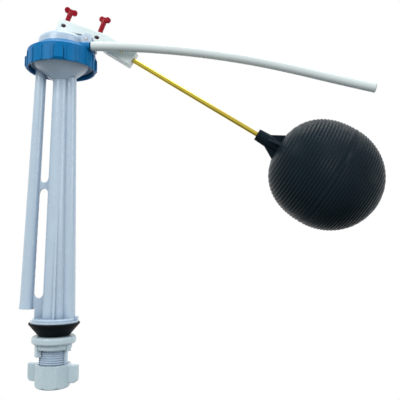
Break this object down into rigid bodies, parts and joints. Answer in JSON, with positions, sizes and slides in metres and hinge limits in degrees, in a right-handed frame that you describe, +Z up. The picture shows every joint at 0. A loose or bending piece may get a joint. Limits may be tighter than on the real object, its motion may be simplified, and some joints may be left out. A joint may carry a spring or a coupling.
{
  "type": "float valve",
  "caption": "Toilet tank float valve: an upright moulded fill column with a threaded shank, a ring-nut bonnet, a pivoting arm, a brass rod with a ball float and a refill tube.",
  "frame": {"origin": "On the column's axis, at the outer face of the tank floor, where the cone washer's foot clamps it.", "axes": "+Z up along the column, +X the side that the float arm, rod and refill tube point to, +Y the back, away from the side that the refill tube runs along."},
  "size_m": [0.3154, 0.094, 0.3332],
  "materials": {
    "valve_body": "translucent white polypropylene",
    "valve_seat": "smooth acetal",
    "seat_o_ring": "smooth black rubber",
    "seat_rubber": "smooth black rubber",
    "plunger": "smooth acetal",
    "plunger_o_ring": "smooth black rubber",
    "bonnet_gasket": "flat black rubber",
    "bonnet": "white polypropylene",
    "union_ring": "blue polypropylene",
    "pivot_pin": "turned stainless steel",
    "float_arm": "white polypropylene",
    "level_screw": "deep red acetal",
    "stop_screw": "deep red acetal",
    "float_rod": "bright drawn brass",
    "rod_nut": "turned brass",
    "float_shell_near": "satin black moulding with fine rings",
    "float_shell_far": "satin black moulding with fine rings",
    "float_insert": "turned brass",
    "shank_washer": "matt black rubber",
    "lock_nut": "white polypropylene",
    "coupling_nut": "white polypropylene",
    "friction_ring": "thin polythene",
    "supply_washer": "black rubber",
    "refill_tube": "semi-stiff polythene tube"
  },
  "bodies": {
    "valve": {"valve_body": "valve_body", "valve_seat": "valve_seat", "seat_o_ring": "seat_o_ring", "bonnet_gasket": "bonnet_gasket", "shank_washer": "shank_washer", "supply_washer": "supply_washer", "friction_ring": "friction_ring"},
    "top": {"union_ring": "union_ring", "bonnet": "bonnet", "pivot_pin": "pivot_pin", "refill_tube": "refill_tube"},
    "plunger": {"plunger": "plunger", "plunger_o_ring": "plunger_o_ring", "seat_rubber": "seat_rubber"},
    "arm": {"float_arm": "float_arm", "float_rod": "float_rod", "rod_nut": "rod_nut", "float_shell_near": "float_shell_near", "float_shell_far": "float_shell_far", "float_insert": "float_insert"},
    "level_screw": {"level_screw": "level_screw"},
    "stop_screw": {"stop_screw": "stop_screw"},
    "lock_nut": {"lock_nut": "lock_nut"},
    "coupling_nut": {"coupling_nut": "coupling_nut"}
  },
  "joints": [
    {"name": "arm_pivot", "type": "hinge", "parent": "top", "child": "arm", "pos_m": [0.0234, 0, 0.258], "axis": [0, -1, 0], "range_deg": [0, 6.5]},
    {"name": "plunger_slide", "type": "slide", "parent": "top", "child": "plunger", "axis": [0, 0, -1], "range_m": [0, 0.00276]},
    {"name": "level_screw_turn", "type": "hinge", "parent": "arm", "child": "level_screw", "pos_m": [-0.00011, 0, 0.26651], "axis": [0.3404, 0, 0.9403], "continuous": true},
    {"name": "stop_screw_turn", "type": "hinge", "parent": "arm", "child": "stop_screw", "pos_m": [0.02961, 0, 0.25575], "axis": [0.3404, 0, 0.9403], "continuous": true},
    {"name": "top_turn", "type": "hinge", "parent": "valve", "child": "top", "pos_m": [0, 0, 0.24], "axis": [0, 0, 1], "continuous": true},
    {"name": "lock_nut_turn", "type": "hinge", "parent": "valve", "child": "lock_nut", "pos_m": [0, 0, -0.006], "axis": [0, 0, 1], "continuous": true},
    {"name": "coupling_nut_turn", "type": "hinge", "parent": "valve", "child": "coupling_nut", "pos_m": [0, 0, -0.032], "axis": [0, 0, 1], "continuous": true}
  ],
  "couplings": [
    {"joint": "plunger_slide", "follows": "arm_pivot", "m_per_rad": 0.02425}
  ]
}
